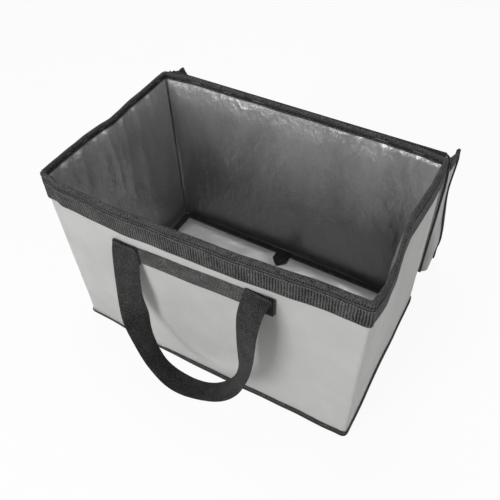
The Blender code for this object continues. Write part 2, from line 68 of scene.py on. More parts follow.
def placed(name, data):
    """A new object in the scene."""
    made = bpy.data.objects.new(name, data)
    bpy.context.scene.collection.objects.link(made)
    return made


camera = placed("camera", bpy.data.cameras.new("camera"))
camera.data.lens, camera.data.sensor_width = lens, sensor
camera.data.clip_start = 0.01
camera.matrix_world = Matrix.Translation(seat) @ Matrix((right_way, up_way, back_way)).transposed().to_4x4()
bpy.context.scene.camera = camera
bpy.context.scene.view_settings.view_transform = "Standard"


def soft_lamp(name, place, aim, size, watts):
    """A square lamp at a place, facing a point."""
    lamp = placed(name, bpy.data.lights.new(name, "AREA"))
    lamp.data.size, lamp.data.energy = size, watts
    lamp.location = place
    lamp.rotation_mode = "QUATERNION"
    lamp.rotation_quaternion = (Vector(aim) - Vector(place)).to_track_quat("-Z", "Y")


soft_lamp("window_lamp", (-0.62, -2.0, 1.02), (0, 0, 0.17), 1.0, 32.0)
soft_lamp("side_lamp", (1.7, -0.5, 1.2), (0, 0, 0.15), 1.0, 9.0)
soft_lamp("top_lamp", (-0.35, 0.45, 2.05), (0, 0, 0.1), 0.9, 17.0)


def seen_and_lit(owner, output, shown, lit, share=1.0):
    """Gives a world or a finish a share of one shader where it is seen, also by way of gloss or glass, and
    another shader for the light that it sends to the bag."""
    owner.use_nodes = True
    tree = owner.node_tree
    tree.nodes.clear()
    path = tree.nodes.new("ShaderNodeLightPath")
    seen = path.outputs["Is Camera Ray"]
    for other in ("Is Glossy Ray", "Is Transmission Ray", None):
        step = tree.nodes.new("ShaderNodeMath")
        step.operation = "MAXIMUM" if other else "MULTIPLY"
        step.inputs[1].default_value = share
        if other:
            tree.links.new(path.outputs[other], step.inputs[1])
        tree.links.new(seen, step.inputs[0])
        seen = step.outputs[0]
    choice, out = tree.nodes.new("ShaderNodeMixShader"), tree.nodes.new(output)
    tree.links.new(seen, choice.inputs["Fac"])
    for socket, (kind, values) in enumerate((lit, shown), 1):
        shader = tree.nodes.new("ShaderNode" + kind)
        for name, value in values.items():
            shader.inputs[name].default_value = value
        tree.links.new(shader.outputs[0], choice.inputs[socket])
    tree.links.new(choice.outputs[0], out.inputs["Surface"])


white, off_white = (1, 1, 1, 1), (0.86, 0.86, 0.86, 1)
surround = bpy.data.worlds.new("surround")
shown, lit = (("Background", {"Color": white, "Strength": strength}) for strength in (1.0, 0.12))
seen_and_lit(surround, "ShaderNodeOutputWorld", shown, lit)
bpy.context.scene.world = surround

floor_half, floor_height = 4, -0.0004
corners = [(x * floor_half, y * floor_half, floor_height) for x, y in ((-1, -1), (1, -1), (1, 1), (-1, 1))]
floor_mesh = bpy.data.meshes.new("floor")
floor_mesh.from_pydata(corners, [], [(0, 1, 2, 3)])
floor = placed("floor", floor_mesh)
pale = bpy.data.materials.new("pale_floor")
shown, lit = ("Emission", {"Color": white, "Strength": 1.0}), ("BsdfDiffuse", {"Color": off_white})
seen_and_lit(pale, "ShaderNodeOutputMaterial", shown, lit, share=0.93)
floor_mesh.materials.append(pale)

# ----------------------------------------
# Outer wrap: one length of pale grey coated polyester, cut to run round the left side, the front and the
# right side without a seam. It is stretched over the foam and sewn under the rim and the base binding.
bag_width, bag_depth, bag_height = 0.455, 0.270, 0.3086
corner_radius, squareness = 0.014, 0.38
wrap_cloth = 0.001
wall_top = bag_height - 0.0013
half_width, half_depth = bag_width / 2 - corner_radius, bag_depth / 2 - corner_radius

# How far the front, right, back and left walls stand out from their flat planes, in millimetres, at places
# along them: first at the rim, then at the base. The short sides dip where they fold.
front_rim = [
    (-213, 5.5), (-206, 8.5), (-184, 9.9), (-163, 10.6), (-121, 12.3), (-101, 12.4), (-64, 11.2),
    (-28, 9.8), (6, 8), (40, 6.6), (72, 5.3), (104, 3.2), (134, 0.8), (159, -1.8), (186, -3.2), (207, -3.6),
    (213.5, -4),
]
front_base = [
    (-213, 3.2), (-194, 3.6), (-176, 4.5), (-158, 6), (-120, 7.5), (-60, 8.5), (0, 8.2), (40, 7.6),
    (72, 6.9), (99, 5.8), (126, 4.8), (152, 3.8), (179, 4.6), (204, 4.6), (213.5, 4),
]
right_rim = [
    (-121, 5), (-112, 6.6), (-98, 7.6), (-82, 7), (-64, 6), (-46, 3.9), (-30, 1.2), (-13, -0.9), (3, -2.4),
    (16, -3.6), (26, -3.2), (39, -2), (61, -0.6), (80, 0.5), (101, 1.2), (121, 0.8),
]
right_base = [(-121, 4.1), (-80, 4.1), (-50, 3.2), (0, 3.0), (40, 4.0), (80, 3.4), (121, 3.0)]
left_rim = [
    (-121, 6), (-100, 6), (-64, 5), (-47, 4.6), (-32, 3.4), (-16, 1), (-2, -1.4), (15, -1), (38, 0.8),
    (77, 1), (99, 1.6), (121, 1.8),
]
left_base = [(-121, 5.4), (-60, 4.5), (0, 3), (60, 3), (121, 2)]
back_rim = [
    (-213, 4), (-190, 7), (-131, 8.3), (-75, 8.3), (5, 8.3), (31, 8), (57, 7.4), (105, 7.2), (140, 6.8),
    (175, 5.2), (197, 4), (213, 1.6),
]
back_base = [(-213, 1.5), (-120, 3), (0, 4), (120, 3), (213, 1.0)]
bows = [(front_rim, front_base), (right_rim, right_base), (back_rim, back_base), (left_rim, left_base)]


def smooth_line(knots, place):
    """The height of a smooth line through knots, in metres, at places in metres."""
    at, value = (np.array(column, float) / 1000 for column in zip(*knots))
    slope = np.gradient(value, at)
    place = np.clip(place, at[0], at[-1])
    index = np.clip(np.searchsorted(at, place) - 1, 0, len(at) - 2)
    gap = at[index + 1] - at[index]
    t = (place - at[index]) / gap
    start = (1 + 2 * t) * (1 - t) ** 2 * value[index] + t * (1 - t) ** 2 * gap * slope[index]
    return start + t * t * (3 - 2 * t) * value[index + 1] - t * t * (1 - t) * gap * slope[index + 1]


def ripple(along, up, seed, pitch):
    """Soft irregular waves from -1 to 1 over a cloth, about a pitch apart."""
    total = 0
    for wave in range(5):
        turn = seed * 1.7 + wave * 2.399
        reach = 2 * math.pi / (pitch * (0.7 + 0.37 * wave))
        way = along * math.cos(turn) + up * math.sin(turn)
        total = total + np.sin(reach * way + seed * 3.1 + wave * wave)
    return total / 3.2


def unit(value):
    """A value held between nought and one."""
    return np.clip(value, 0, 1)


def stand_out(side, along, height):
    """How far a wall stands out from its flat plane: 0 front, 1 right, 2 back, 3 left."""
    rise = unit(height / 0.29)
    high, low = bows[side]
    out = smooth_line(high, along) * rise + smooth_line(low, along) * (1 - rise)
    if side == 2:
        belly = np.abs(np.sin(math.pi * rise)) ** 0.8
        out = out + 0.0115 * belly * np.exp(-(((along - half_width) / 0.05) ** 2))
    ends = 1 - unit(np.abs(along) / (half_depth if side in (1, 3) else half_width)) ** 6
    return out + 0.0007 * ends * ripple(along, height, side + 2, 0.11)


def wall(place, height, depth):
    """Points of a wall at places on the walk round the bag, at heights and depths in from the outer face.

    The walk is anticlockwise from the front's left end: front, corner, right, corner, back, corner, left,
    corner, with one stretch of the walk for each."""
    given = (np.asarray(value, float) for value in (place, height, depth))
    place, height, depth = np.broadcast_arrays(*given)
    stretch = np.floor(place).astype(int) % 8
    share = place - np.floor(place)
    corner = stretch % 2 == 1
    side = stretch // 2
    along = np.where(corner, 1.0, 2 * share - 1)
    x, y = np.zeros(place.shape), np.zeros(place.shape)
    for number in range(4):
        here = side == number
        turn = math.pi / 2 * (number - 1)
        out, on = (math.cos(turn), math.sin(turn)), (-math.sin(turn), math.cos(turn))
        long, far = (half_width, half_depth) if number in (0, 2) else (half_depth, half_width)
        sign = 1 if number in (0, 1) else -1
        give = stand_out(number, sign * along[here] * long, height[here])
        after = (number + 1) % 4
        next_sign = 1 if after in (0, 1) else -1
        next_give = stand_out(after, np.full(give.shape, -next_sign * far), height[here])
        angle = np.where(corner[here], share[here], 0.0) * math.pi / 2
        reach = corner_radius - depth[here]
        ahead = far + (reach + give) * np.abs(np.cos(angle)) ** squareness
        aside = along[here] * long + (reach + next_give) * np.sin(angle) ** squareness
        x[here] = out[0] * ahead + on[0] * aside
        y[here] = out[1] * ahead + on[1] * aside
    return np.stack((x, y, height), axis=-1)


def walk(start, end, steps):
    """Places from start to end on the walk, with steps to a metre of wall."""
    places = []
    for stretch in range(math.floor(start), math.ceil(end)):
        length = (bag_width, 0.022, bag_depth, 0.022)[stretch % 4]
        count = max(14 if stretch % 2 else 4, round(length * steps))
        places += [stretch + step / count for step in range(count)]
    places = [place for place in places if start + 1e-6 < place < end - 1e-6]
    return np.array([start, *places, end])[:, None]


def run_of(line):
    """The distance along a line of points to each of them."""
    return np.concatenate([[0], np.cumsum(np.linalg.norm(np.diff(line, axis=0), axis=1))])


def cloth(node, face, back, finish, body, slot=None, ring=False, part="soft"):
    """A thin closed piece between two grids of points, with its flat length and width kept for its weave.

    The slot argument is not used."""
    count, rows = face.shape[:2]
    line = np.concatenate([face[:, rows // 2], face[:1, rows // 2]]) if ring else face[:, rows // 2]
    long, wide = run_of(line), run_of(face[count // 2])
    faces, corners = [], []

    def add(*outline):
        """Four-sided faces between (place along, place across, side of the cloth)."""
        spots = [np.broadcast_arrays(*spot) for spot in outline]
        numbers = [(side * count + i % count) * rows + j for i, j, side in spots]
        faces.append(np.stack(numbers, -1).reshape(-1, 4))
        flat = [np.stack((long[i], wide[j]), -1) for i, j, side in spots]
        corners.append(np.stack(flat, -2).reshape(-1, 2))

    i, j = np.arange(count if ring else count - 1)[:, None], np.arange(rows - 1)[None, :]
    for side in (0, 1):
        add((i, j, side), (i + 1, j, side), (i + 1, j + 1, side), (i, j + 1, side))
    for row in (0, rows - 1):
        add((i, row, 0), (i + 1, row, 0), (i + 1, row, 1), (i, row, 1))
    for column in () if ring else (0, count - 1):
        add((column, j, 0), (column, j + 1, 0), (column, j + 1, 1), (column, j, 1))
    name = f"{node}_{part}"
    mesh = bpy.data.meshes.new(name)
    points = np.concatenate([face.reshape(-1, 3), back.reshape(-1, 3)])
    mesh.from_pydata(points.tolist(), [], np.concatenate(faces).tolist())
    laid_out = np.concatenate(corners).astype(np.float32).ravel()
    mesh.uv_layers.new(name="laid_out").data.foreach_set("uv", laid_out)
    shape = bmesh.new()
    shape.from_mesh(mesh)
    bmesh.ops.recalc_face_normals(shape, faces=shape.faces)
    shape.to_mesh(mesh)
    shape.free()
    mesh.shade_smooth()
    mesh.set_sharp_from_angle(angle=math.radians(50))
    mesh.materials.append(finish)
    piece = placed(name, mesh)
    if body:
        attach(piece, body)
    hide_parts(node)
    return piece


def wall_cloth(node, places, heights, outer, inner, finish, slot=None):
    """A cloth on the walls, between two depths in from their outer face."""
    return cloth(node, wall(places, heights, outer), wall(places, heights, inner), finish, "bag", slot)


class Wire:
    """A number that changes over a surface; sums on it become Math nodes of its finish."""

    def __init__(self, finish, socket):
        self.finish, self.socket = finish, socket

    def sum(self, operation, *values):
        return self.finish.node("Math", {"operation": operation}, dict(enumerate(values)))

    def __add__(self, other):
        return self.sum("ADD", self, other)

    __radd__ = __add__

    def __sub__(self, other):
        return self.sum("SUBTRACT", self, other)

    def __rsub__(self, other):
        return self.sum("SUBTRACT", other, self)

    def __mul__(self, other):
        return self.sum("MULTIPLY", self, other)

    __rmul__ = __mul__

    def sine(self, pitch, shift=0.0):
        """A wave of that pitch, from 0 to 1."""
        return self.sum("SINE", self * (2 * math.pi / pitch) + shift) * 0.5 + 0.5

    def away(self, middle):
        return self.sum("ABSOLUTE", self - middle)

    def under(self, edge, soft):
        """One below an edge and none above it, with a soft step."""
        ends = {"From Min": edge - soft, "From Max": edge + soft, "To Min": 1.0, "To Max": 0.0}
        return self.finish.node("MapRange", {"interpolation_type": "SMOOTHSTEP"}, {"Value": self, **ends})


class Finish:
    """One material: its shader, and a method that adds any other node to it."""

    def __init__(self, name, roughness, **settings):
        self.material = bpy.data.materials.new(name)
        self.material.use_nodes = True
        self.tree = self.material.node_tree
        self.shader = self.tree.nodes["Principled BSDF"]
        self.set("Roughness", roughness)
        for socket, value in settings.items():
            self.set(socket.replace("_", " "), value)

    def join(self, socket, value):
        if isinstance(value, Wire):
            self.tree.links.new(value.socket, socket)
        else:
            socket.default_value = value

    def set(self, socket, value):
        self.join(self.shader.inputs[socket], value)

    def node(self, kind, settings=None, values=None, out=0):
        made = self.tree.nodes.new("ShaderNode" + kind)
        for name, value in (settings or {}).items():
            setattr(made, name, value)
        for name, value in (values or {}).items():
            self.join(made.inputs[name], value)
        return Wire(self, made.outputs[out])

    def laid_out(self):
        """The places along and across the flat cloth, in metres."""
        flat = self.node("UVMap", {"uv_map": "laid_out"})
        return (self.node("SeparateXYZ", None, {0: flat}, out) for out in (0, 1))

    def noise(self, size, detail=3.0, rough=0.55, stretch=(1, 1, 1)):
        """Soft blotches about a size across, from 0 to 1, stretched along an axis if need be."""
        spot = self.node("TexCoord", out=3)
        spot = self.node("VectorMath", {"operation": "MULTIPLY"}, {0: spot, 1: stretch})
        values = {"Vector": spot, "Scale": 1 / size, "Detail": detail, "Roughness": rough}
        return self.node("TexNoise", {"noise_dimensions": "3D"}, values)

    def tint(self, mask, low, high):
        """A colour between two, by a mask; the first may itself vary."""
        low = low if isinstance(low, Wire) else (*low, 1)
        return self.node("Mix", {"data_type": "RGBA"}, {"Factor": mask, 6: low, 7: (*high, 1)}, out=2)

    def speckle(self, size, strength):
        """Fine fibrous spots round a half, as strong as asked."""
        return (self.noise(size, 3.0, 0.7) - 0.5) * strength + 0.5

    def raised(self, height, deep):
        """The material, with a small height over its surface, from 0 to 1 for a depth in metres."""
        self.set("Normal", self.node("Bump", None, {"Height": height, "Distance": deep, "Strength": 1.0}))
        return self.material


def coated_cloth(name, low, high):
    """Fine plain weave under a thin coating, a little blotched, with faint handling creases."""
    finish = Finish(name, 0.55, Sheen_Weight=0.12, Sheen_Roughness=0.5)
    along, across = finish.laid_out()
    patch = (finish.noise(0.07, 4.0, 0.6) - 0.5) * 1.6 + 0.5
    finish.set("Base Color", finish.tint(patch, low, high))
    finish.set("Roughness", finish.noise(0.012, 4.0) * 0.16 + 0.47)
    weave = along.sine(0.0011) * across.sine(0.0011)
    creases = finish.noise(0.022, 5.0, 0.6)
    return finish.raised(weave * 0.12 + creases * 1.5, 0.0008)


outer_cloth = coated_cloth("outer_cloth", (0.42, 0.42, 0.41), (0.52, 0.52, 0.51))

left_rear, right_rear = 5.5, 11.5
seam_gap, puff = 0.01, -0.0002
levels = np.concatenate([np.linspace(0.0013, 0.255, 46), np.linspace(0.259, wall_top, 16)])[None, :]
below_tape = unit((0.262 - levels) / 0.02)
places = walk(left_rear + seam_gap, right_rear - seam_gap, 260)
skin = puff * (1 + ripple(places * 0.12, levels, 9, 0.05)) * below_tape
outer_wrap = wall_cloth("outer_wrap", places, levels, skin, wrap_cloth, outer_cloth)

# ----------------------------------------
# Outer back panel: the same cloth, a separate panel behind the hanging lid. It is sewn to the wrap down the
# two back corners.
places = walk(right_rear - 8 + seam_gap, left_rear - seam_gap, 220)
skin = puff * (1 + ripple(places * 0.2, levels, 4, 0.06)) * below_tape
outer_back = wall_cloth("outer_back_panel", places, levels, skin, wrap_cloth, outer_cloth)

# Outer base panel: the same cloth under the bag. Its edge is turned up outside the walls and bound there.
lip, lip_cloth = 0.008, 0.0008


def floor_cloth(node, bottom, thick, depth, finish, turn_up=None):
    """A flat layer of the floor, from its middle out to a depth of the wall, with or without a lip."""
    round_bag = walk(0, 8, 120)[:-1]
    rim = wall(round_bag, 0.002, depth)[:, 0, :]
    shares = np.array([0.0, 0.25, 0.5, 0.72, 0.86, 0.94, 0.98, 1.0])
    face = rim[:, None, :] * np.array((1, 1, 0)) * shares[None, :, None]
    face[..., 2] = bottom
    under = face.copy()
    face[..., 2] += thick
    if turn_up is not None:
        out, tall = turn_up
        wallward = wall(round_bag, np.linspace(thick, tall, 5)[None, :], -0.0003)
        outward = wall(round_bag, np.linspace(0.0003, tall, 5)[None, :], -0.0003 - out)
        outward[:, 0, 2] = under[:, -1, 2]
        face = np.concatenate([face, wallward], axis=1)
        under = np.concatenate([under, outward], axis=1)
    return cloth(node, face, under, finish, "bag", ring=True)


base_cloth = floor_cloth("outer_base_panel", 0, wrap_cloth, 0, outer_cloth, turn_up=(lip_cloth, lip))

# ----------------------------------------
# Foam: closed-cell sheets between the cloth and the lining. The short sides have theirs in two halves, so
# that the bag folds along its creases. Nothing of the foam shows; it is white, 4 mm thick and crowned.
foam_out, foam_in = 0.0013, 0.0053


def closed_cell(name):
    """White foam with the small pits of its cut cells."""
    finish = Finish(name, 0.85)
    place = finish.node("TexCoord", out=3)
    cells = finish.node("TexVoronoi", {"voronoi_dimensions": "3D"}, {"Vector": place, "Scale": 700.0})
    finish.set("Base Color", finish.tint(finish.noise(0.05), (0.80, 0.80, 0.78), (0.88, 0.88, 0.86)))
    return finish.raised(cells, 0.0003)


def pressed(depth, height):
    """A depth in the wall, less where the rim binding is sewn through and holds the layers together."""
    hold = unit((height - 0.258) / 0.042)
    return 0.001 + (depth - 0.001) * (1 - 0.62 * hold * hold * (3 - 2 * hold))


white_foam = closed_cell("white_foam")
foam_levels = [np.linspace(0.0068, 0.280, 30), np.linspace(0.284, wall_top - 0.0005, 9)]
foam_levels = np.concatenate(foam_levels)[None, :]


def crown(value, edge):
    """One inside a stretch and less within an edge of its two ends."""
    low, high = value.min(), value.max()
    near = np.minimum(value - low, high - value) / edge
    return 1 - 0.35 * (1 - unit(near)) ** 2


def foam_sheet(node, start, end):
    places = walk(start, end, 130)
    swell = crown(places, 0.06) * crown(foam_levels, 0.010)
    middle = (foam_out + foam_in) / 2
    half = (foam_in - foam_out) / 2 * swell
    outer, inner = (pressed(middle + way * half, foam_levels) for way in (-1, 1))
    wall_cloth(node, places, foam_levels, outer, inner, white_foam)


corner_gap, fold_gap = 0.02, 0.004
right_fold = 2.5 + 0.010 / (4 * half_depth)
left_fold = 6.5 + 0.003 / (4 * half_depth)
foam_sheet("foam_front", -0.5 + corner_gap, 1.5 - corner_gap)
foam_sheet("foam_right_front", 1.5 + corner_gap, right_fold - fold_gap)
foam_sheet("foam_right_rear", right_fold + fold_gap, 3.5 - corner_gap)
foam_sheet("foam_back", 3.5 + corner_gap, 5.5 - corner_gap)
foam_sheet("foam_left_rear", 5.5 + corner_gap, left_fold - fold_gap)
foam_sheet("foam_left_front", left_fold + fold_gap, 7.5 - corner_gap)
floor_cloth("foam_base", foam_out, foam_in - foam_out, 0.0016, white_foam)

# ----------------------------------------
# Lining: satin silver film on a thin backing, one panel to each wall, sewn together down the corners and
# caught under the rim binding, which puckers it just below the rim. The seams leave a fold in each corner.
lining_out, lining_cloth = 0.0056, 0.0005


def silver_film(name, low, high, metal, foot_shade_strength, crinkle):
    """Satin film on a fine woven backing, crinkled by handling, with painted shade darkening it toward the
    bottom.
    """
    finish = Finish(name, 0.3, Metallic=metal)
    along, across = finish.laid_out()
    streaks = (finish.noise(0.060, 4.0, 0.6, (1, 1, 0.4)) - 0.5) * 1.3 + 0.5
    mottle = finish.speckle(0.0045, 0.45)
    up = finish.node("SeparateXYZ", None, {0: finish.node("TexCoord", out=3)}, out=2)
    # Painted shade: the colour darkens below about a quarter metre up, toward the bag's bottom, where less
    # light gets in.
    painted_foot_shade = up.under(0.13, 0.13) * foot_shade_strength
    finish.set("Base Color", finish.tint(streaks + mottle - painted_foot_shade - 0.5, (low,) * 3, (high,) * 3))
    finish.set("Roughness", streaks * 0.12 + 0.30)
    crumple = finish.noise(0.045, 3.0, 0.5, (1, 1, 0.4))
    folds = finish.noise(0.055, 4.0, 0.6, (1, 1, 0.7)).away(0.5)
    weave = along.sine(0.0013) * across.sine(0.0013)
    return finish.raised(crumple * 2.0 - folds * crinkle + mottle * 0.12 + weave * 0.05, 0.0014)


silver_lining = silver_film("silver_lining", 0.24, 0.48, 0.42, 0.8, 4.5)


def pulls(along, height, folds):
    """Creases that run down from the rim: middle, top, length, width, depth and lean, in millimetres."""
    total = np.zeros(np.broadcast(along, height).shape)
    for middle, top, length, width, deep, lean in folds:
        run = (top / 1000 - height) / (length / 1000)
        spread = width / 1000 * (0.6 + 0.8 * unit(run))
        across = (along - middle / 1000 - lean / 1000 * run) / spread
        fade = unit(1 - run) ** 1.3 * unit(1 + run * 12)
        total = total + deep / 1000 * np.exp(-(across**2)) * fade
    return total


front_folds = [
    (-150, 296, 60, 9, 1.2, 6), (-90, 296, 80, 12, 1, -8), (-20, 296, 60, 10, 1.1, 5),
    (60, 296, 70, 11, 0.9, -5), (130, 296, 60, 9, 1.2, 8),
]
back_folds = [
    (190, 297, 70, 6, 3, -10), (168, 297, 110, 8, 2.8, 14), (140, 297, 150, 11, 2.4, 16),
    (105, 297, 130, 10, 1.8, -18), (60, 297, 90, 13, 1.1, 14), (-150, 297, 60, 18, 0.7, 4),
]
left_folds = [
    (-100, 297, 120, 8, 2.8, 14), (-70, 297, 160, 10, 3.4, -18), (-38, 297, 110, 8, 2.8, 14),
    (-18, 297, 230, 7, 3.2, 12), (16, 297, 210, 8, 3.4, -10), (48, 297, 260, 10, 3, 8),
    (84, 297, 250, 9, 2.6, 12),
]
right_folds = [
    (-80, 296, 120, 12, 1.3, 8), (-30, 296, 160, 10, 1.4, -8), (40, 296, 160, 12, 1.5, 6),
    (85, 296, 120, 10, 1.2, -6),
]


lining_foot, rim_seam, caught = 0.0064, 0.2956, 0.2985


def lining_panel(node, side, start, end, folds, streaks):
    """One panel of lining: it swells a little below the rim, and its creases run down from there."""
    places = walk(start, end, 300)
    stack = ((lining_foot, 0.24, 44), (0.245, 0.2975, 20), (0.2995, wall_top - 0.001, 4))
    heights = np.concatenate([np.linspace(*rows) for rows in stack])[None, :]
    stretch = places - np.floor((start + end) / 2)
    sign = 1 if side in (0, 1) else -1
    along = sign * (2 * unit(stretch) - 1) * (half_width if side in (0, 2) else half_depth)
    below = unit((rim_seam - heights) / 0.30)
    fall = unit((rim_seam - heights) / 0.13)
    puff = 0.0034 * np.sin(math.pi * fall**0.55) * (0.8 + 0.3 * ripple(along, 0.0, side + 1, 0.16))
    inward = puff + pulls(along, heights, folds)
    waves = 0.5 + 0.5 * ripple(along, heights * 0.12, side + 3, 0.045)
    inward = inward + streaks * waves * unit(below * 8)
    corner = np.minimum(places - start, end - places)
    welt = 0.0020 * np.exp(-(((corner - 0.30) / 0.14) ** 2)) * (0.8 + 0.3 * ripple(heights, 0.0, side, 0.07))
    inward = inward * unit(corner / 0.55) ** 0.5 + welt
    inward = inward * unit((heights - lining_foot) / 0.02)
    inward = inward * unit((caught - heights) / 0.004)
    near = pressed(lining_out + lining_cloth, heights) + inward
    panel = wall_cloth(node, places, heights, near, near - lining_cloth, silver_lining)


lining_panel("lining_front", 0, -0.49, 1.49, front_folds, 0.0008)
lining_panel("lining_right", 1, 1.51, 3.49, right_folds, 0.0014)
lining_panel("lining_back", 2, 3.51, 5.49, back_folds, 0.0007)
lining_panel("lining_left", 3, 5.51, 7.49, left_folds, 0.0016)
lining_floor = floor_cloth("lining_floor", lining_out, lining_cloth, lining_out + 0.0003, silver_lining)

# ----------------------------------------
# Rim binding: a black ribbed tape folded over the raw edges of cloth, foam and lining, and sewn through.
# The needle pulls it in along its seam, so it stands proud above and below the stitches.


def black_yarn(name, roughness, sheen):
    return Finish(name, roughness, Specular_IOR_Level=0.12, Sheen_Weight=sheen, Sheen_Roughness=0.4)


def binding_finish(name, low, high, stitch_rows):
    """Tape with fine ribs across it, fuzzy and worn paler on the high spots, with rows of stitches."""
    finish = black_yarn(name, 0.8, 0.06)
    along, across = finish.laid_out()
    ribs = along.sine(0.0014)
    fuzz = finish.speckle(0.0022, 3.0)
    blotch = finish.noise(0.014, 3.0, 0.6)
    mask = ribs * 0.35 + fuzz * 0.65 + blotch * 0.5 - 0.38
    stitches = 0.0
    for row in stitch_rows:
        line = across.away(row).under(0.00045, 0.00015)
        stitches = stitches + line * along.sine(0.0032).under(0.45, 0.12)
        # Painted shade: the colour darkens in a band either side of each row of stitches, in the groove that
        # the seam pulls in.
        mask = mask - across.away(row).under(0.0012, 0.0008) * 0.8
    thread = [value * 1.2 for value in high]
    finish.set("Base Color", finish.tint(stitches, finish.tint(mask, low, high), thread))
    return finish.raised(ribs * 0.5 + fuzz * 0.4 + stitches * 1.2, 0.00045)


stitch_rows = (0.0053, 0.0235)
black_binding = binding_finish("black_binding", (0.005, 0.005, 0.005), (0.150, 0.150, 0.147), stitch_rows)


def folded(path, thick):
    """The far side of a tape whose near side follows a path of (depth, height)."""
    path = np.array(path, float)
    way = np.gradient(path, axis=0)
    way /= np.linalg.norm(way, axis=1)[:, None]
    return path + np.stack((way[:, 1], -way[:, 0]), -1) * thick


def through(points, at, steps):
    """A smooth path through points in millimetres, each at its place along the path."""
    fine = np.linspace(0, at[-1], steps) / 1000
    return np.stack([smooth_line(list(zip(at, column)), fine) for column in points.T], -1)


def bent(points, steps):
    """A smooth path through (depth, height) points given in millimetres."""
    points = np.array(points, float)
    return through(points, run_of(points), steps)


rim_points = [
    (-1.1, 295.6), (-1.6, 298), (-1, 300.8), (-1.5, 304.5), (-0.6, 307.4), (1.4, 308.6), (3.4, 307.6),
    (4.7, 304.8), (3, 301.4), (4.8, 298.7), (3.9, 297),
]
rim_path = bent(rim_points, 36)
rim_back = folded(rim_path, 0.0010)
places = walk(0, 8, 300)[:-1]
loose = 0.00025 * ripple(places * 0.4, 0.0, 3, 0.03)


def tape_round(node, places, paths, push=0.0, tall=1.0):
    """A tape all round the bag, between two paths of (depth, height)."""
    grids = [wall(places, path[None, :, 1] * tall, path[None, :, 0] + push) for path in paths]
    cloth(node, *grids, black_binding, "bag", ring=True)


tape_round("rim_binding", places, (rim_path, rim_back), push=loose)

# ----------------------------------------
# Hook tape: a stiff ribbed band sewn flat on the cloth just below the rim binding, on the left side, the
# front and the right side. It grips the loop tape inside the lid's skirts.


def hook_finish(name):
    """Broad woven ribs of hooks between two flat, fuzzy selvedges, with a row of stitches along the top."""
    finish = black_yarn(name, 0.75, 0.06)
    along, across = finish.laid_out()
    ribs = (along + finish.noise(0.008, 2.0) * 0.0022).sine(0.0036)
    fuzz = finish.speckle(0.0022, 3.0)
    blotch = finish.noise(0.02, 3.0, 0.6)
    edge = across.away(0.0144).under(0.0128, 0.0004)
    body = ribs * 0.65 + fuzz * 0.60 + blotch * 0.9 - 0.72
    mask = body * edge + (fuzz * 0.7) * (1 - edge)
    stitch = across.away(0.0275).under(0.0005, 0.0002) * along.sine(0.0034).under(0.6, 0.1)
    shade = finish.tint(mask, (0.006, 0.006, 0.006), (0.145, 0.145, 0.142))
    finish.set("Base Color", finish.tint(stitch, shade, (0.20, 0.20, 0.195)))
    return finish.raised(ribs * edge * 0.8 + fuzz * 0.35, 0.0008)


hook_tape_finish = hook_finish("hook_tape")
tape_face = [
    (-1.6, 266), (-1.9, 266.8), (-1.9, 270), (-1.8, 274), (-1.8, 278), (-1.8, 282), (-1.8, 286),
    (-1.9, 290), (-1.9, 294), (-1.6, 294.8),
]
depth, up = (column[None, :] for column in np.array(tape_face).T / 1000)
places = walk(5.56, 11.44, 300)
loose = -0.0004 * (1 + ripple(places * 0.3, up * 0.5, 6, 0.04)) * unit((0.285 - up) / 0.02)
wall_cloth("hook_tape", places, up, depth + loose, -0.0003, hook_tape_finish)

# ----------------------------------------
# Base binding: the same black tape over the turned-up edge of the base panel, all round the bottom, sewn
# through the panel and the walls. It shows broader at the right and narrower at the left.
base_path = bent([(-0.5, 9.4), (-1.6, 9.2), (-2.5, 7.0), (-2.1, 5.0), (-2.6, 2.6), (-2.0, 0.5)], 14)
deeper = np.maximum(folded(base_path, -0.0008)[:, 0], folded(base_path, 0.0008)[:, 0])
base_back = np.stack((deeper, base_path[:, 1] - 0.0002), -1)
places = walk(0, 8, 240)[:-1]
stations, shares = [0, 0.3, 0.45, 1, 1.6, 2.6, 4, 7.2, 8], [0.6, 0.8, 1.3, 1.3, 1.15, 1.6, 1, 0.4, 0.6]
tall = np.interp(places, stations, shares)
tape_round("base_binding", places, (base_path, base_back), tall=tall)

# ----------------------------------------
# Straps: a flat length of thinner webbing sewn across the front wall and another across the back, each with
# the two ends of its handle sewn over it.


def webbing_finish(name, low, high):
    """Close-woven webbing: fine ribs across it with a faint diamond in them, fuzzy."""
    finish = black_yarn(name, 0.82, 0.05)
    along, across = finish.laid_out()
    ribs = along.sine(0.0021)
    twill = (along + across).sine(0.0034) * (along - across).sine(0.0034)
    fuzz = finish.speckle(0.0018, 3.0)
    blotch = finish.noise(0.02, 3.0, 0.6)
    mask = ribs * 0.45 + twill * 0.50 + fuzz * 0.50 + blotch * 0.6 - 0.62
    finish.set("Base Color", finish.tint(mask, low, high))
    return finish.raised(ribs * 0.5 + twill * 0.3 + fuzz * 0.4, 0.0006)


strap_webbing = webbing_finish("strap_webbing", (0.012, 0.012, 0.012), (0.230, 0.230, 0.225))
black_webbing = webbing_finish("black_webbing", (0.004, 0.004, 0.004), (0.110, 0.110, 0.108))


def flat_tape(width, thick, steps):
    """A flat tape's cross-section with rounded edges: places across it, and half its thickness there."""
    across = np.linspace(-1, 1, steps)
    swell = (1 - np.abs(across) ** 10) ** 0.5 * 0.85 + 0.15
    return across * width / 2, swell * thick / 2


def wall_strap(node, side, middle, width, tall, top, depth, thick, finish, lift=0.0, slope=0.0):
    """A tape laid flat across a wall, below a height that may slope along it."""
    x = np.linspace(middle - width / 2, middle + width / 2, max(12, round(width * 300)))[:, None]
    sign = 1 if side == 0 else -1
    places = side * 2 + (sign * x / half_width + 1) / 2
    up, swell = flat_tape(tall, thick, 15)
    heights = top + slope * x - tall / 2 + up[None, :]
    near = depth - thick / 2 - lift * (1 + ripple(x, heights, 2, 0.05)) / 2
    wall_cloth(node, places, heights, near - swell[None, :], near + swell[None, :], finish, "black_webbing")


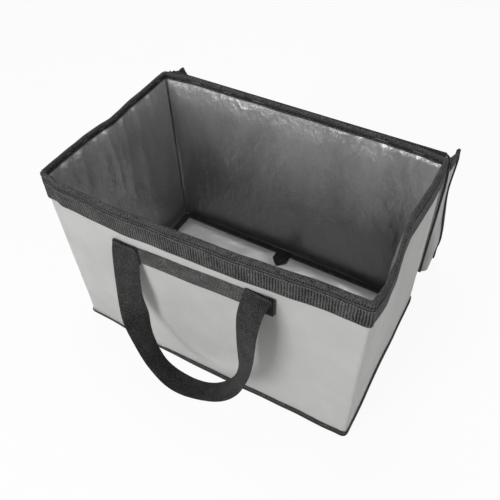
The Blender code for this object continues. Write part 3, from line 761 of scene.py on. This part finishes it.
strap_size, strap_depth, strap_thick, strap_lift = (0.238, 0.031), -0.0003, 0.0015, 0.0003
end_size, end_depth, end_thick, end_out = (0.038, 0.031), -0.0021, 0.0020, 0.098
strap = (strap_depth, strap_thick, strap_webbing, strap_lift)
wall_strap("front_strap", 0, 0.0, *strap_size, 0.2502, *strap, slope=0.0225)
wall_strap("back_strap", 2, 0.0, strap_size[0], 0.030, 0.2470, *strap)
for label, side, tops in (("front", 0, (0.2464, 0.2512)), ("back", 2, (0.2500, 0.2500))):
    for hand, middle, top in (("left", -end_out, tops[0]), ("right", end_out, tops[1])):
        end = f"{label}_handle_end_{hand}"
        wall_strap(end, side, middle, *end_size, top, end_depth, end_thick, black_webbing)

# ----------------------------------------
# Handles: 38 mm webbing, folded over the top of each sewn end and hanging in a loop under its own weight. It
# leaves the wall flat and turns down each leg, so that it stands on edge across the bottom of the loop.
handle_width, handle_thick = 0.038, 0.002


def webbing_loop(node, centres, acrosses, body):
    """Webbing through centres, in millimetres, with its width along each across direction."""
    tables = np.array(centres), np.array(acrosses) * 1000
    centre, across = (through(table, np.arange(len(table)), 240) for table in tables)
    way = np.gradient(centre, axis=0)
    way /= np.linalg.norm(way, axis=1)[:, None]
    across -= (across * way).sum(1)[:, None] * way
    across /= np.linalg.norm(across, axis=1)[:, None]
    facing = np.cross(across, way)
    side, swell = flat_tape(handle_width, handle_thick, 17)
    middle = centre[:, None, :] + across[:, None, :] * side[None, :, None]
    rise = facing[:, None, :] * swell[None, :, None]
    cloth(node, middle + rise, middle - rise, black_webbing, body)


front_centres = [
    (-98, -147.9, 247.4), (-98, -148.6, 247.9), (-98, -149.8, 248), (-98, -151.4, 247.1),
    (-98, -151.9, 244), (-97.8, -152.7, 238.5), (-97.7, -153.9, 230.2), (-97.4, -157, 213.2),
    (-96.7, -160.8, 196.2), (-95.3, -164.9, 179.4), (-93.1, -168.9, 162.7), (-89.7, -172.7, 146.1),
    (-85.2, -176.6, 129.7), (-79.4, -180.8, 113.9), (-72, -185.4, 98.9), (-62.8, -190.1, 85),
    (-51.5, -194.6, 72.5), (-38.2, -198.3, 62.1), (-22.8, -200.5, 54.2), (-6.1, -201, 49.5),
    (11.2, -200.1, 48.3), (28.2, -198.1, 50.6), (44.4, -195.3, 56.3), (59, -192.2, 65.2),
    (71.4, -189.2, 77), (80.9, -186.3, 91.2), (87.3, -183.8, 107.1), (91.2, -181.7, 123.9),
    (93.4, -179.8, 141.1), (94.8, -178.1, 158.3), (95.6, -176.5, 175.6), (95.8, -174.5, 192.9),
    (95.5, -171.4, 210), (95.3, -165.9, 226.4), (95.7, -156.9, 240.1), (96.8, -147.6, 248),
    (97.4, -144.3, 250.6), (97.7, -142.9, 252.5), (97.9, -141.4, 252.9), (98, -139.8, 252.2),
]
front_acrosses = [
    (1, 0, 0), (1, 0, 0), (1, 0, 0), (1, 0, 0), (1, 0.02, 0), (0.99, 0.12, 0), (0.98, 0.20, -0.01),
    (0.97, 0.25, -0.02), (0.97, 0.25, 0), (0.96, 0.26, 0.03), (0.94, 0.33, 0.06), (0.86, 0.50, 0.06),
    (0.64, 0.76, -0.01), (0.32, 0.94, -0.13), (0.10, 0.96, -0.25), (0.01, 0.95, -0.32),
    (-0.04, 0.93, -0.37), (-0.07, 0.91, -0.40), (-0.06, 0.94, -0.35), (-0.06, 0.95, -0.30),
    (-0.07, 0.95, -0.31), (-0.06, 0.94, -0.32), (-0.06, 0.96, -0.26), (-0.12, 0.98, -0.14),
    (-0.22, 0.98, -0.04), (-0.35, 0.93, 0.02), (-0.51, 0.86, 0.04), (-0.64, 0.77, 0.02),
    (-0.77, 0.63, 0.01), (-0.85, 0.52, 0), (-0.90, 0.44, -0.02), (-0.92, 0.39, -0.06), (-0.94, 0.33, -0.10),
    (-0.96, 0.26, -0.11), (-0.97, 0.20, -0.12), (-0.99, 0.10, -0.06), (-1, 0.02, 0), (-1, 0, 0), (-1, 0, 0),
    (-1, 0, 0),
]
webbing_loop("front_handle", front_centres, front_acrosses, "front_handle")

# The back one is a plain loop, half of it laid out as (right, out, up, turn) from the fold on its right end.
fold_out, fold_up = 0.146466, 0.250
tilt = math.radians(6)
half_span, drop, leg, lean, stand = 0.098, 0.222, 0.110, 0.008, 0.0016
fold = ((-0.0012, -0.0015), (-0.0011, 0.0008), (0.0006, 0.0018))
half_path = [(half_span, out, up, 0.0) for out, up in fold]
for k in range(6):
    down = leg * k / 6 + 0.001 * (k == 0)
    half_path.append((half_span - lean * k / 6, stand + 0.0006 * math.sin(k), -down, 0.5 * (k / 12) ** 1.5))
for k in range(9):
    angle = math.pi / 2 * k / 8
    down, turn = leg + (drop - leg) * math.sin(angle), min(1.0, 0.35 + 0.65 * k / 6)
    half_path.append(((half_span - lean) * math.cos(angle), stand, -down, turn))
rows = [(*row, 1) for row in half_path] + [(-row[0], *row[1:], -1) for row in half_path[-2::-1]]
centres, acrosses = [], []
for x, y, z, turn, hand in rows:
    out = y * math.cos(tilt) - z * math.sin(tilt)
    up = y * math.sin(tilt) + z * math.cos(tilt)
    centres.append((x * 1000, (out + fold_out) * 1000, (up + fold_up) * 1000))
    angle = turn * math.pi / 2
    acrosses.append((-hand * math.cos(angle), -math.sin(angle), 0.1 * math.sin(angle)))
webbing_loop("back_handle", centres, acrosses, "back_handle")

# ----------------------------------------
# Lid: outer cloth, foam and lining sewn to a bound edge, with skirts on three sides that close over the hook
# tape. It hangs folded right back behind the rear wall, so that its lining and its skirts face backward. Its
# sides draw in a little toward its free end, and the skirts have sprung out of line.
lid_axis = Vector((0, 0.1532, 0.3086))
lid_turn = math.radians(-260.5)
lid_half_x, lid_front, lid_back = 0.2327, -0.30209, -0.0068
skirt_free, skirt_back = -0.0409, -0.0268
lid_edge = [
    (-303, 226.6), (-253, 227.6), (-195, 228.9), (-151, 230.1), (-96, 231.1), (-50, 231.8), (-30, 231.4),
    (-18, 228.2), (-6, 221.5),
]
right_free = [
    (-303, 234.2), (-270, 235.7), (-233, 236.2), (-188, 234.2), (-137, 229.7), (-105, 228.6), (-68, 229.4),
    (-26, 229),
]
left_free = [(-303, 233.0), (-150, 232.7), (-26, 232.7)]
front_flare = [(-233, 0.5), (-200, 2.0), (-110, 4.5), (-20, 3.0), (60, 1.0), (120, 0.0), (233, 0.0)]


def lid_place(points):
    """Points of the closed lid, from its hinge line, as they hang behind the bag."""
    points = np.asarray(points, float)
    c, s = math.cos(lid_turn), math.sin(lid_turn)
    x, y, z = points[..., 0], points[..., 1], points[..., 2]
    return np.stack((x, y * c - z * s + lid_axis.y, y * s + z * c + lid_axis.z), -1)


def lid_grid(x, y, z):
    """The same for separate arrays that may still have to be spread over a grid."""
    return lid_place(np.stack(np.broadcast_arrays(x, y, z), -1))


def lid_sag(x, y):
    """How far the lid's panel leaves its plane: a soft dome, dented where it was folded."""
    u, v = unit(np.abs(x) / lid_half_x), unit((y - lid_front) / (lid_back - lid_front))
    dome = (1 - u**4) * np.sin(math.pi * v) ** 0.7
    return dome * (0.0015 + 0.0010 * ripple(x, y, 4, 0.10))


def lid_panel(node, margin, bottom, thick, finish, wrinkle=0.0):
    """One layer of the lid, a margin in from its free edges."""
    front = lid_front + margin
    across = np.linspace(-1, 1, 96)[:, None]
    y = np.linspace(front, lid_back - 0.0027, 70)[None, :]
    x = across * (smooth_line(lid_edge, y) - margin)
    inside = np.minimum((1 - np.abs(across)) * lid_half_x, np.minimum(y - front, lid_back - y))
    z = bottom + lid_sag(x, y) + wrinkle * unit(inside / 0.02) * ripple(x, y, 7, 0.05)
    return cloth(node, lid_grid(x, y, z + thick), lid_grid(x, y, z), finish, "lid")


lid_outer = lid_panel("lid_outer", 0.0, 0.0061, wrap_cloth, outer_cloth)
lid_panel("lid_foam", 0.0015, 0.0018, 0.004, white_foam)
lid_lining = lid_panel("lid_lining", 0.0015, 0.0010, lining_cloth, silver_lining, wrinkle=0.0004)

# Skirts: bands of the outer cloth hanging from the lid's left, front and right edges, each with a band of
# soft loop tape sewn inside it, and a black tape folded over the free edge and up the two short ends.
skirt_cloth, loop_cloth = 0.0012, 0.0012


def loop_finish(name):
    """Soft knitted pile."""
    finish = Finish(name, 0.95, Sheen_Weight=0.5, Sheen_Roughness=0.6)
    fuzz = finish.noise(0.0012, 4.0, 0.75)
    mask = fuzz * 0.8 + finish.noise(0.02) * 0.4 - 0.1
    finish.set("Base Color", finish.tint(mask, (0.014, 0.014, 0.014), (0.07, 0.07, 0.069)))
    return finish.raised(fuzz, 0.001)


loop_tape_finish = loop_finish("loop_tape")
seam_half, wall_clear, soft_step = 0.2318, 0.0033, 0.0006


def skirt_x(hand, y, z):
    """How far from the middle the outer face of a side skirt is: it starts at the lid's edge.

    It has taken the shape of the wall that it closes over, where that stands out further."""
    edge = smooth_line(lid_edge, y)
    root = edge + (seam_half - edge) * unit((0.0045 - z) / 0.0075)
    free = smooth_line(right_free if hand > 0 else left_free, y)
    drape = root + (free - root) * unit((-0.003 - z) / 0.0379) ** 1.3
    over = stand_out(1 if hand > 0 else 3, np.clip(y + lid_axis.y, -0.121, 0.121), np.full(np.shape(y), 0.29))
    over = over + half_width + corner_radius + wall_clear
    wide = np.logaddexp(drape / soft_step, over / soft_step) * soft_step
    shoulder = unit((0.0050 - z) / 0.0055)
    return edge + (wide - edge) * shoulder * shoulder * (3 - 2 * shoulder)


def side_place(hand, outward, y, z):
    """Points out from a side skirt's face; the skirt's short back end is bent, the left one more."""
    near = np.exp(-(((y - skirt_back) / 0.02) ** 2))
    bend = near * unit(-z / 0.041)
    root = near * unit((z + 0.030) / 0.034)
    lift = 0.006 if hand > 0 else 0.0075
    y, x = y - 0.0045 * bend + 0.0150 * root, skirt_x(hand, y, z) - 0.0025 * root + outward
    return lid_grid(hand * x, y, z + lift * bend)


def skirt_y(x, z):
    """The same for the front skirt's outer face."""
    return lid_front - smooth_line(front_flare, x) * unit((0.006 - z) / 0.047) ** 1.5


def side_band(node, hand, depth, thick, y, z, finish):
    """A band standing down from one side edge of the lid, in from the skirt's outer face by a depth."""
    y, z = np.linspace(*y, 70)[:, None], np.linspace(*z, 12)[None, :]
    far, near = side_place(hand, -depth, y, z), side_place(hand, -depth - thick, y, z)
    return cloth(node, far, near, finish, "lid")


def front_band(node, depth, thick, inset, z, finish):
    """The same for the front edge, with its ends an inset in from the side skirts' outer faces."""
    z = np.linspace(*z, 12)[None, :]
    x = np.linspace(-1, 1, 96)[:, None] * (skirt_x(1, lid_front, z) - inset)
    y = skirt_y(x, z) + depth
    return cloth(node, lid_grid(x, y, z), lid_grid(x, y + thick, z), finish, "lid")


skirt_rise, tape_rise, tape_in = (skirt_free, 0.0058), (-0.0299, -0.0099), 0.0015
skirt = front_band("lid_skirt_front", 0.0, skirt_cloth, 0.0, skirt_rise, outer_cloth)
front_band("lid_loop_tape_front", tape_in, loop_cloth, tape_in + loop_cloth, tape_rise, loop_tape_finish)
for label, hand in (("left", -1), ("right", 1)):
    run = (lid_front + skirt_cloth + 0.0003, skirt_back)
    skirt = side_band(f"lid_skirt_{label}", hand, 0.0, skirt_cloth, run, skirt_rise, outer_cloth)
    run = (lid_front + 0.0030, skirt_back - 0.0180)
    side_band(f"lid_loop_tape_{label}", hand, tape_in, loop_cloth, run, tape_rise, loop_tape_finish)


def edge_ring(outward, z, end):
    """Points round the lid's three free edges, from its left back end to its right back end."""
    y = np.linspace(end, lid_front - outward, 90)
    x = np.linspace(-1, 1, 96)[1:-1] * (skirt_x(1, y[-1], z) + outward)
    front = lid_grid(x, skirt_y(x, z) - outward, z)
    return np.concatenate([side_place(-1, outward, y, z), front, side_place(1, outward, y, z)[::-1]])


def edge_tape(node, profile, thick, end):
    """A tape folded along a profile of (outward, height) in millimetres, round the lid's three edges."""
    path = bent(profile, 22)
    lines = path, folded(path, thick)
    grids = [np.stack([edge_ring(outward, height, end) for outward, height in line], 1) for line in lines]
    cloth(node, *grids, black_binding, "lid")


skirt_tape = [(-2.3, -30.2), (-2.6, -34), (-2.3, -39.5), (-0.6, -42), (0.9, -39.5), (1.3, -35), (1.1, -30.2)]
skirt_tape_cloth = 0.0008
edge_tape("lid_skirt_binding", skirt_tape, skirt_tape_cloth, skirt_back)
edge_path = [(-0.1, 6.3), (0.3, 6.6), (0.3, 7.0), (-0.2, 7.4), (-1.2, 7.5), (-2.4, 7.4)]
edge_tape("lid_edge_binding", edge_path, 0.0005, -0.0105)
end_path = [(0.5, -44), (0.6, -34), (0.5, -27.6), (-0.6, -26.2), (-1.7, -27.6), (-1.8, -34), (-1.7, -44)]
end_path = bent(end_path, 18)
z = np.linspace(-0.0418, 0.0042, 16)[:, None]
for label, hand in (("left", -1), ("right", 1)):
    lines = end_path, folded(end_path, skirt_tape_cloth)
    grids = [side_place(hand, line[None, :, 0], line[None, :, 1], z) for line in lines]
    cloth("lid_skirt_binding", *grids, black_binding, "lid", part=f"{label}_end")

# ----------------------------------------
# Lid hinge: a strip of binding cloth sewn down the outside of the back wall's rim, and the flap that carries
# on from its top edge over the lid's back edge. The real flap bends as the lid turns; this one is fixed.
hinge_cloth = 0.0008


def along_x(node, route, body):
    """A strip of cloth along X whose cross-section follows route(x), rows of (y, z)."""
    face, back = [], []
    for x in np.linspace(-half_width, half_width, 110):
        line = np.array(route(x), float)
        for grid, thick in ((face, hinge_cloth / 2), (back, -hinge_cloth / 2)):
            grid.append(np.insert(folded(line, thick), 0, x, axis=1))
    return cloth(node, np.array(face), np.array(back), black_binding, body)


def outside(x):
    """How far back the outside of the back wall's rim tape is at a place along it."""
    return wall(4 + (1 - x / half_width) / 2, bag_height, -0.0022)[1]


along_x("lid_hinge_strip", lambda x: [(outside(x), z) for z in np.linspace(0.2961, 0.3058, 9)], "bag")
lap = [tuple(point[1:]) for point in lid_place([(0, y, 0.0078) for y in np.linspace(-0.0068, -0.0193, 8)])]
root = [(0.0005, 0.3066), (0.0008, 0.3058), (0.0009, 0.3050)]
flap = along_x("lid_hinge_flap", lambda x: [(outside(x) + out, z) for out, z in root] + lap, None)
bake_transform(flap)

# The same tape folded over the raw back edge of the lid's layers.
edge_path = bent([(-9.4, 7.0), (-7.2, 6.8), (-5.9, 4.0), (-7.0, 1.2), (-10.0, 0.5), (-14.0, 0.4)], 16)
x = np.linspace(-0.2218, 0.2218, 110)[:, None]
grids = [lid_grid(x, line[None, :, 0], line[None, :, 1]) for line in (edge_path, folded(edge_path, -0.0006))]
cloth("lid_hinge_flap", *grids, black_binding, "lid", part="edge")

# ----------------------------------------
# Base board: a stiff plastic sheet between two covers of the lining film, bound in black tape, lying on the
# floor and joined to the front wall by a cloth strip, so that it tips up to fold the bag flat.
board_x, board_front, board_back = 0.2149, -0.1214, 0.1269


def board_plastic_finish(name):
    """Grey sheet plastic with a fine grain."""
    finish = Finish(name, 0.5)
    finish.set("Base Color", finish.tint(finish.noise(0.03), (0.27, 0.27, 0.27), (0.33, 0.33, 0.33)))
    return finish.raised(finish.noise(0.0012, 2.0), 0.0001)


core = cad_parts["base_board_core"]
core.data.materials.clear()
core.data.materials.append(board_plastic_finish("board_plastic"))

# Painted light: the same film as the lining, given a far paler colour that stands in for the bright light on
# the board.
silver_board_painted_bright = silver_film("silver_board_painted_bright", 0.78, 0.95, 0.45, 0.0, 0.8)


def board_cover(node, bottom, wave):
    """One cover of the board. The top one stands up a little inside its binding, less so under the tab."""
    x = np.linspace(-board_x + 0.001, board_x - 0.001, 100)[:, None]
    y = np.linspace(board_front + 0.001, board_back - 0.001, 64)[None, :]
    x, y = np.broadcast_arrays(x, y)
    in_front, behind = y - board_front - binding_width, board_back - binding_width - y
    edge = np.minimum(board_x - binding_width - np.abs(x), np.minimum(in_front, behind))
    swell = smooth_line(cover_rise, np.clip(edge, 0, 0.13))
    flattened = 1 - 0.9 * np.exp(-((x / 0.026) ** 2)) * unit(y / 0.08)
    z = bottom + wave * swell * 1000 * flattened * (0.75 + 0.35 * ripple(x, y * 0.5, 8, 0.07))
    face, back = np.stack((x, y, z + lining_cloth), -1), np.stack((x, y, z), -1)
    cover = cloth(node, face, back, silver_board_painted_bright, "base_board", "silver_lining")


binding_width = 0.014
cover_rise = [(0, 0), (5, 0.9), (9, 1.0), (20, 0.55), (36, 0.12), (60, 0.0), (130, 0.0)]
board_cover("base_board_bottom_cover", 0.0074, 0.0)
board_cover("base_board_top_cover", 0.0110, 0.0026)


def board_ring(inset, steps=44):
    """Points round the board at an inset from its edge, with rounded corners."""
    radius = 0.010
    middle_y, half_y = (board_front + board_back) / 2, (board_back - board_front) / 2
    turn = max(radius - inset, 0.0004)
    pull = max(inset - (radius - turn), 0)
    points = []
    for sx, sy, start in ((-1, -1, 180), (1, -1, 270), (1, 1, 0), (-1, 1, 90)):
        for step in range(7):
            angle = math.radians(start + 90 * step / 6)
            x = sx * (board_x - radius - pull) + turn * math.cos(angle)
            points.append((x, middle_y + sy * (half_y - radius - pull) + turn * math.sin(angle)))
    ring = []
    for number, point in enumerate(points):
        after = points[(number + 1) % len(points)]
        count = steps if number % 7 == 6 else 1
        ring += [np.array(point) + (np.array(after) - point) * step / count for step in range(count)]
    return np.array(ring)


board_points = [(12.0, 6.5), (6.0, 6.4), (1.2, 6.8), (0.0, 9.4), (1.2, 12.3), (6.0, 12.9), (12.0, 12.4)]
board_path = bent(board_points, 20)
lines = board_path, folded(board_path, -0.0007)
grids = [np.stack([np.insert(board_ring(inset), 2, up, axis=1) for inset, up in line], 1) for line in lines]
cloth("base_board_binding", *grids, black_binding, "base_board", ring=True)

# The strip that joins the board's front edge to the foot of the front wall.
strip_front, strip_back, strip_top, strip_bottom = -0.1286, -0.1221, 0.0069, 0.0064
x, y = np.linspace(-board_x, board_x, 60)[:, None], np.linspace(strip_front, strip_back, 4)[None, :]
grids = (np.stack(np.broadcast_arrays(x, y, z), -1) for z in (strip_top, strip_bottom))
cloth("base_board_hinge_tape", *grids, black_binding, "bag")

# ----------------------------------------
# Pull tab: a short doubled length of the handles' webbing, folded to a point and sewn to the middle of the
# board's back edge. It lies on the top cover.
tab_half, tab_base, tab_tip, tab_shoulder = 0.0135, 0.1239, 0.0879, 0.0999
along = np.linspace(0, 1, 34)[:, None]
y = tab_base + (tab_tip - tab_base) * along
taper = 0.12 + 0.88 * (y - tab_tip) / (tab_shoulder - tab_tip)
width = np.where(y > tab_shoulder, tab_half, tab_half * taper)
across, swell = flat_tape(2.0, handle_thick, 15)
x = width * across[None, :]
lift = 0.0138 + 0.0012 * np.sin(math.pi * along) + 0.0003 * ripple(x, y, 3, 0.02)
y = np.broadcast_to(y, x.shape)
face, back = (np.stack((x, y, lift + way * swell[None, :]), -1) for way in (1, -1))
cloth("pull_tab", face, back, black_webbing, "pull_tab")
